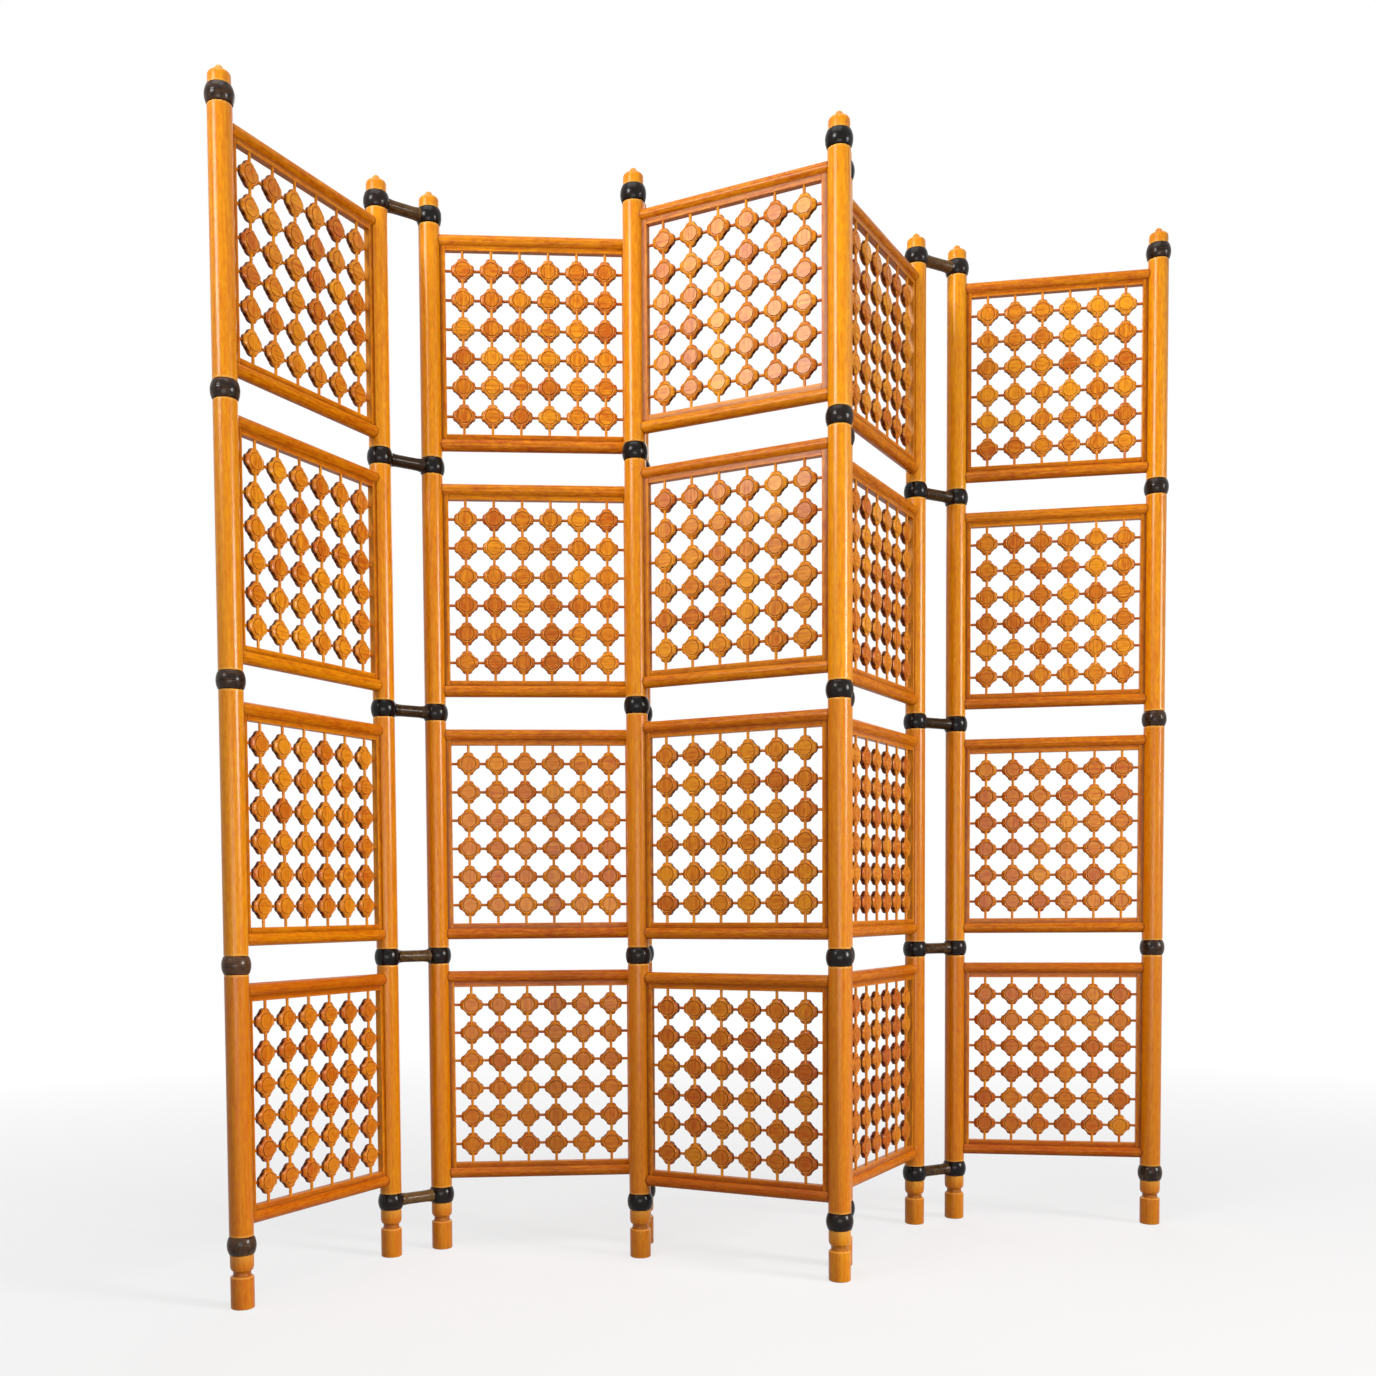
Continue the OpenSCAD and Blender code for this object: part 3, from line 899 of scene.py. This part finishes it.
def lacquer(name, base, worn, *, worn_share, roughness, coat):
    """Dark lacquered wood, browner and duller where it has been handled, with painted shade in
    its grooves, bore and joints.
    """
    n = Nodes(name)
    grain = n.attribute("grain")
    tint = n.parts(n.attribute("tint"))
    wear_and_painted_light = n.attribute("wear_and_painted_light", "Fac")
    patches = n.noise(grain, 120, 4)
    lines = n.noise(n.stretched(grain, 1, 14), 60, 3)
    tone_shift = n.math("ADD", n.math("MULTIPLY", patches, 0.7), n.math("MULTIPLY", lines, 0.5))
    tone_shift = n.math("ADD", tone_shift, n.between(wear_and_painted_light, 0.0, 1.0, 0.0, 0.12))
    share = n.between(n.math("ADD", tone_shift, tint[0]), 0.5, 0.85, 0.0, worn_share)
    colour = n.mix(share, base, worn)
    # painted shade
    colour = n.mix(n.between(wear_and_painted_light, 0.0, -1.0, 0.0, PAINTED_SHADE_BLACK_SHARE), colour, PAINTED_SHADE_BLACK)
    n.put(n.shader.inputs["Base Color"], colour)
    n.put(n.shader.inputs["Roughness"], n.between(share, 0.0, 1.0, roughness, roughness + 0.2))
    n.put(n.shader.inputs["Specular IOR Level"], BARE_GLOSS)
    n.put(n.shader.inputs["Coat Weight"], coat)
    n.put(n.shader.inputs["Coat Roughness"], LACQUER_ROUGHNESS)
    relief = n.math("ADD", n.math("MULTIPLY", lines, 0.7), n.math("MULTIPLY", patches, 0.5))
    n.put(n.shader.inputs["Normal"], n.bump(relief, 0.3, 0.0005))
    return n.material


HONEY_LIGHT, HONEY_DARK = linear(252, 172, 0), linear(222, 118, 0)
AMBER_LIGHT, AMBER_DARK = linear(232, 144, 2), linear(190, 88, 0)
TAN_LIGHT, TAN_DARK = linear(248, 164, 24), linear(200, 92, 0)
RED_BROWN = linear(178, 70, 2)

post_wood = wood("post_wood", HONEY_LIGHT, HONEY_DARK, RED_BROWN,
                 figure=0.6, roughness=0.40, coat=0.48)
rail_wood = wood("rail_wood", AMBER_LIGHT, AMBER_DARK, RED_BROWN,
                 figure=0.9, roughness=0.45, coat=0.22)
lattice_wood = wood("lattice_wood", TAN_LIGHT, TAN_DARK, RED_BROWN,
                    figure=0.9, roughness=0.42, coat=0.34)
rod_wood = wood("rod_wood", TAN_LIGHT, TAN_DARK, RED_BROWN,
                figure=0.4, roughness=0.5, coat=0.35)
collar_black = lacquer("collar_black", linear(8, 5, 4), linear(42, 26, 18),
                       worn_share=0.6, roughness=0.26, coat=0.3)
collar_brown = lacquer("collar_brown", linear(34, 21, 12), linear(96, 64, 40),
                       worn_share=0.9, roughness=0.3, coat=0.35)
bar_brown = lacquer("bar_brown", linear(48, 32, 16), linear(112, 82, 46),
                    worn_share=0.9, roughness=0.34, coat=0.2)


# ---------- the screen ----------
def dress_leaf(k):
    """Every wooden piece of a leaf, each in place of its solid."""
    place = between(LEFT[k], RIGHT[k])[0]

    def finish(piece, name, material, slot, node):
        piece.build(f"{name}_{k}", f"leaf_{k}", place, material, [f"leaf_{k}_{node}"], slot)

    finish(posts("left"), "turned_left_post", post_wood, "post_wood", "left_post")
    finish(posts("right"), "turned_right_post", post_wood, "post_wood", "right_post")
    finish(turned(foot_profile(), 0), "turned_feet", post_wood, "post_wood", "feet")
    finish(turned(finial_profile(), level_z(PANELS) + COLLAR_GAP), "turned_finials",
           post_wood, "post_wood", "finials")
    finish(rails(-1), "moulded_top_rails", rail_wood, "rail_wood", "top_rails")
    finish(rails(1), "moulded_bottom_rails", rail_wood, "rail_wood", "bottom_rails")
    finish(stiles(), "scribed_stiles", rail_wood, "rail_wood", "stiles")
    finish(rods(True), "round_upright_rods", rod_wood, "rod_wood", "upright_rods")
    finish(rods(False), "round_level_rods", rod_wood, "rod_wood", "level_rods")
    for j in range(PANELS):
        finish(blocks(j), f"carved_blocks_panel_{j + 1}_leaf", lattice_wood, "lattice_wood",
               "blocks")


def dress_link(letter, before, after):
    """The collars and bars between two leaves, which turn together."""
    place, pitch = between(RIGHT[before], LEFT[after])
    body = f"link_{letter}"
    collars([0, pitch], False).build(f"black_collars_{letter}", body, place, collar_black,
                                     [f"link_{letter}_collars"], "collar_wood")
    bars(pitch).build(f"round_bars_{letter}", body, place, bar_brown,
                      [f"link_{letter}_bars"], "bar_wood")


for k in LEAVES:
    dress_leaf(k)
for letter, (before, after) in LINKS.items():
    dress_link(letter, before, after)
for k, axis in ((1, LEFT[1]), (5, RIGHT[5])):
    collars([0], True).build(f"brown_end_collars_{k}", f"leaf_{k}", Matrix.Translation(axis),
                             collar_brown, [f"leaf_{k}_end_collars"], "collar_wood")


# ---------- floor, light and camera ----------
FLOOR_REACH = 14
# how light the floor is to the lamps, and how light it is seen
FLOOR_BOUNCE = 0.15
FLOOR_SEEN = 0.9
# the share of the seen floor that is plain white, at two distances from the middle
NEAR, NEAR_WHITE = 1.0, 0.7
FAR, FAR_WHITE = 3.5, 1.0
WORLD_LIGHT = 0.21
WHITE = (1, 1, 1, 1)

# name, place, target, size, watts, and how far the light spreads, in degrees; all are white
LAMPS = (
    ("key", (-2.9, -3.0, 3.2), (-0.1, 0, 2.2), (1.5, 1.3), 13, 50),
    ("side", (4.1, -2.3, 1.8), (-0.8, -0.3, 0.1), (1.4, 1.4), 23, 58),
    ("fill", (-0.3, -4.4, 0.5), (0, 0, 0.5), (2.6, 1.5), 52, 180),
    ("top", (-0.6, -1.2, 4.2), (-0.1, 0, 0.9), (2.8, 1.8), 44, 180),
    ("back", (0.5, 3.2, 2.8), (0, 0, 1.0), (2.5, 1.5), 25, 180),
)

# the camera as it was fitted to the photograph; the sensor and lens are in millimetres
CAMERA_PLACE = (-0.2083, -2.4990, 0.6266)
CAMERA_TILT, CAMERA_ROLL = math.radians(-2.549), math.radians(-0.419)
CAMERA_SENSOR, CAMERA_LENS = 36, 37.026
CAMERA_SHIFT_X, CAMERA_SHIFT_Y = 0.0459, 0.2038


def ray_seen(nodes, links):
    """1 for rays that see the backdrop itself: from the camera, or by way of gloss or glass."""
    path = nodes.new("ShaderNodeLightPath")
    kinds = [path.outputs[f"Is {kind} Ray"] for kind in ("Camera", "Glossy", "Transmission")]
    seen = kinds[0]
    for kind in kinds[1:]:
        either = nodes.new("ShaderNodeMath")
        either.operation = "MAXIMUM"
        links.new(seen, either.inputs[0])
        links.new(kind, either.inputs[1])
        seen = either.outputs[0]
    return seen


def floor():
    """A pale floor that is seen as near white, with the screen's soft shadow on it."""
    mesh = bpy.data.meshes.new("floor")
    signs = ((-1, -1), (1, -1), (1, 1), (-1, 1))
    corners = [(x * FLOOR_REACH, y * FLOOR_REACH, 0) for x, y in signs]
    mesh.from_pydata(corners, [], [(0, 1, 2, 3)])
    plane = bpy.data.objects.new("floor", mesh)
    bpy.context.scene.collection.objects.link(plane)
    n = Nodes("floor")
    seen = ray_seen(n.tree.nodes, n.tree.links)
    grey = (FLOOR_BOUNCE, FLOOR_BOUNCE, FLOOR_BOUNCE, 1)
    pale = (FLOOR_SEEN, FLOOR_SEEN, FLOOR_SEEN, 1)
    n.put(n.shader.inputs["Base Color"], n.mix(seen, grey, pale))
    n.put(n.shader.inputs["Roughness"], 0.9)
    n.put(n.shader.inputs["Specular IOR Level"], 0.0)
    glow = n.new("ShaderNodeEmission", {"Color": WHITE, "Strength": 1.0})
    place = n.new("ShaderNodeTexCoord").outputs["Object"]
    distance = n.new("ShaderNodeVectorMath", {0: place}, operation="LENGTH").outputs["Value"]
    share = n.between(distance, NEAR, FAR, NEAR_WHITE, FAR_WHITE)
    both = n.new("ShaderNodeMixShader", {0: n.math("MULTIPLY", seen, share)})
    n.tree.links.new(n.shader.outputs[0], both.inputs[1])
    n.tree.links.new(glow.outputs[0], both.inputs[2])
    output = n.tree.nodes["Material Output"]
    n.tree.links.new(both.outputs[0], output.inputs["Surface"])
    mesh.materials.append(n.material)


def world():
    """Even soft light, and a white background for what is seen of it."""
    studio = bpy.data.worlds.new("studio")
    bpy.context.scene.world = studio
    studio.use_nodes = True
    nodes, links = studio.node_tree.nodes, studio.node_tree.links
    background = nodes["Background"]
    strength = nodes.new("ShaderNodeMapRange")
    strength.inputs["To Min"].default_value = WORLD_LIGHT
    strength.inputs["To Max"].default_value = 1.0
    links.new(ray_seen(nodes, links), strength.inputs["Value"])
    background.inputs["Color"].default_value = WHITE
    links.new(strength.outputs["Result"], background.inputs["Strength"])


def lamp(name, place, target, size, power, spread):
    """A rectangular soft lamp at a place, aimed at a target."""
    data = bpy.data.lights.new(name, "AREA")
    data.shape = "RECTANGLE"
    data.size, data.size_y = size
    data.energy = power
    data.spread = math.radians(spread)
    obj = bpy.data.objects.new(name, data)
    obj.location = place
    aim = Vector(target) - Vector(place)
    obj.rotation_euler = aim.to_track_quat("-Z", "Y").to_euler()
    bpy.context.scene.collection.objects.link(obj)


def camera():
    """At the photograph's place: low, near the left half, looking almost level."""
    data = bpy.data.cameras.new("camera")
    data.sensor_width = CAMERA_SENSOR
    data.lens = CAMERA_LENS
    data.shift_x = CAMERA_SHIFT_X
    data.shift_y = CAMERA_SHIFT_Y
    data.clip_end = 60
    obj = bpy.data.objects.new("camera", data)
    obj.location = CAMERA_PLACE
    look = Euler((math.pi / 2 + CAMERA_TILT, 0, 0)).to_matrix()
    obj.rotation_euler = (look @ Matrix.Rotation(CAMERA_ROLL, 3, "Z")).to_euler()
    bpy.context.scene.collection.objects.link(obj)
    bpy.context.scene.camera = obj


floor()
world()
for settings in LAMPS:
    lamp(*settings)
camera()
bpy.context.scene.view_settings.view_transform = "Standard"
